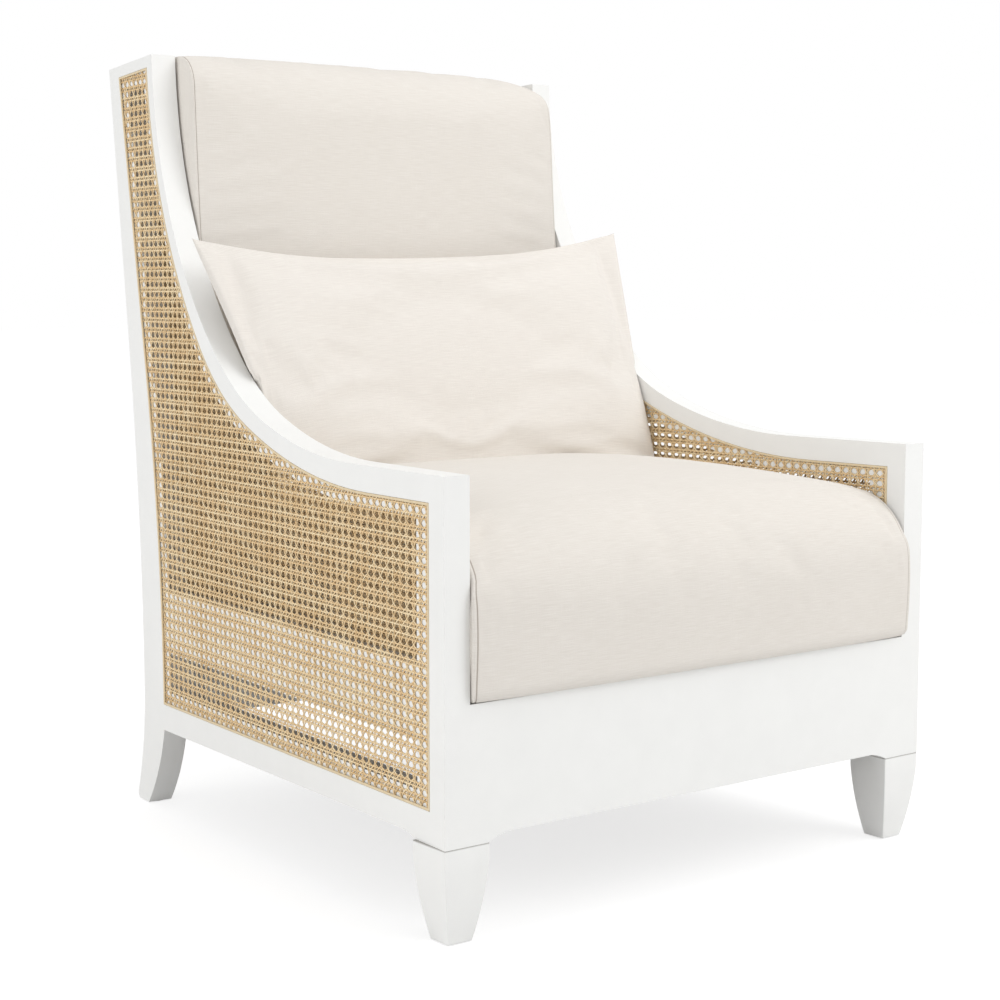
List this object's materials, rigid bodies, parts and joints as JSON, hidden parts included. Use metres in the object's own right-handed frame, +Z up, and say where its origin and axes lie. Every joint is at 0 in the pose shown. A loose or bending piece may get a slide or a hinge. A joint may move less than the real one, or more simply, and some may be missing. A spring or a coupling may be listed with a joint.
{
  "type": "accent chair",
  "caption": "Upholstered accent chair with toed-in cane side frames, swept arms, a raked padded back, splayed rear legs, a loose seat cushion and a lumbar pillow.",
  "frame": {"origin": "on the floor, under the middle of the chair's outline seen from above", "axes": "+Z up; the chair faces -Y; seen from the front, +X points to the right"},
  "size_m": [0.762, 0.8637, 1.0231],
  "materials": {
    "painted_wood": "satin white lacquer",
    "cane": "woven natural cane",
    "reed": "split reed",
    "upholstery": "woven slub cloth",
    "foam": "open-cell foam",
    "hidden_wood": "plain planed hardwood",
    "webbing": "elastic webbing",
    "felt": "needled felt",
    "lining": "thin non-woven cloth",
    "steel": "zinc plated",
    "nylon": "moulded nylon"
  },
  "bodies": {
    "frame": {"back_bottom_bar": "hidden_wood", "back_cross_straps": "webbing", "back_cushion": "upholstery", "back_long_straps": "webbing", "back_panel": "upholstery", "back_top_bar": "hidden_wood", "corner_blocks": "hidden_wood", "deck_cross_straps": "webbing", "deck_front_bar": "hidden_wood", "deck_long_straps": "webbing", "deck_pad": "felt", "deck_rear_bar": "hidden_wood", "dust_cover": "lining", "front_rail": "painted_wood", "glides": "nylon", "left_arm_rail": "painted_wood", "left_back_upright": "hidden_wood", "left_bottom_rail": "painted_wood", "left_deck_bar": "hidden_wood", "left_front_leg": "painted_wood", "left_front_post": "painted_wood", "left_inner_cane": "cane", "left_inner_spline": "reed", "left_outer_cane": "cane", "left_outer_spline": "reed", "left_rear_stile": "painted_wood", "left_seat_rail": "painted_wood", "left_top_rail": "painted_wood", "leg_bolts": "steel", "rear_rail": "painted_wood", "right_arm_rail": "painted_wood", "right_back_upright": "hidden_wood", "right_bottom_rail": "painted_wood", "right_deck_bar": "hidden_wood", "right_front_leg": "painted_wood", "right_front_post": "painted_wood", "right_inner_cane": "cane", "right_inner_spline": "reed", "right_outer_cane": "cane", "right_outer_spline": "reed", "right_rear_stile": "painted_wood", "right_seat_rail": "painted_wood", "right_top_rail": "painted_wood"},
    "seat_cushion": {"seat_cushion": "upholstery", "seat_foam": "foam"},
    "lumbar_pillow": {"lumbar_pillow": "upholstery"}
  },
  "joints": [
    {"name": "seat_cushion_lift", "type": "slide", "parent": "frame", "child": "seat_cushion", "axis": [0, 0, 1], "range_m": [0, 0.12]},
    {"name": "lumbar_pillow_lift", "type": "slide", "parent": "seat_cushion", "child": "lumbar_pillow", "axis": [0, 0, 1], "range_m": [0, 0.15]}
  ]
}
